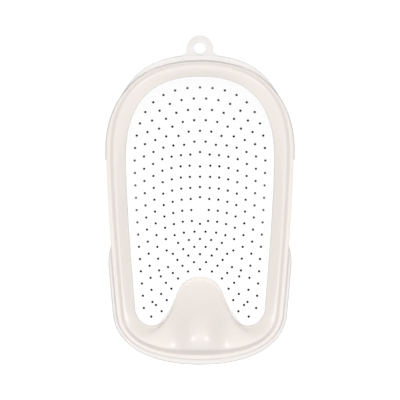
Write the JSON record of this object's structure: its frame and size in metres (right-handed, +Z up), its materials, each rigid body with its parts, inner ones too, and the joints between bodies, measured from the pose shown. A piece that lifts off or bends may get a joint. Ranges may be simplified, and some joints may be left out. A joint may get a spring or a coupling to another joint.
{
  "type": "baby bath support",
  "caption": "Reclined bath support for a baby: stiff oval frame with a pommel, soft perforated panel, and a moulded base with side windows, foot pads and a hanging tab.",
  "frame": {"origin": "on the floor, below the middle of the part's bounding box", "axes": "+Z up, +Y towards the head end and its hanging tab, +X to the right seen from the foot end"},
  "size_m": [0.3338, 0.5799, 0.2165],
  "materials": {
    "frame_plastic": "satin moulded plastic, warm pale grey",
    "base_plastic": "satin moulded plastic, warm pale grey",
    "soft_panel": "soft matt white elastomer",
    "pad_rubber": "matt soft grey elastomer",
    "screw_steel": "plain stainless steel"
  },
  "bodies": {
    "root": {"seat_frame": "frame_plastic", "soft_panel": "soft_panel", "base_shell": "base_plastic", "front_left_foot_pad": "pad_rubber", "front_right_foot_pad": "pad_rubber", "rear_left_foot_pad": "pad_rubber", "rear_right_foot_pad": "pad_rubber", "head_screws": "screw_steel", "shoulder_screws": "screw_steel", "side_screws": "screw_steel", "foot_screws": "screw_steel"}
  },
  "joints": []
}
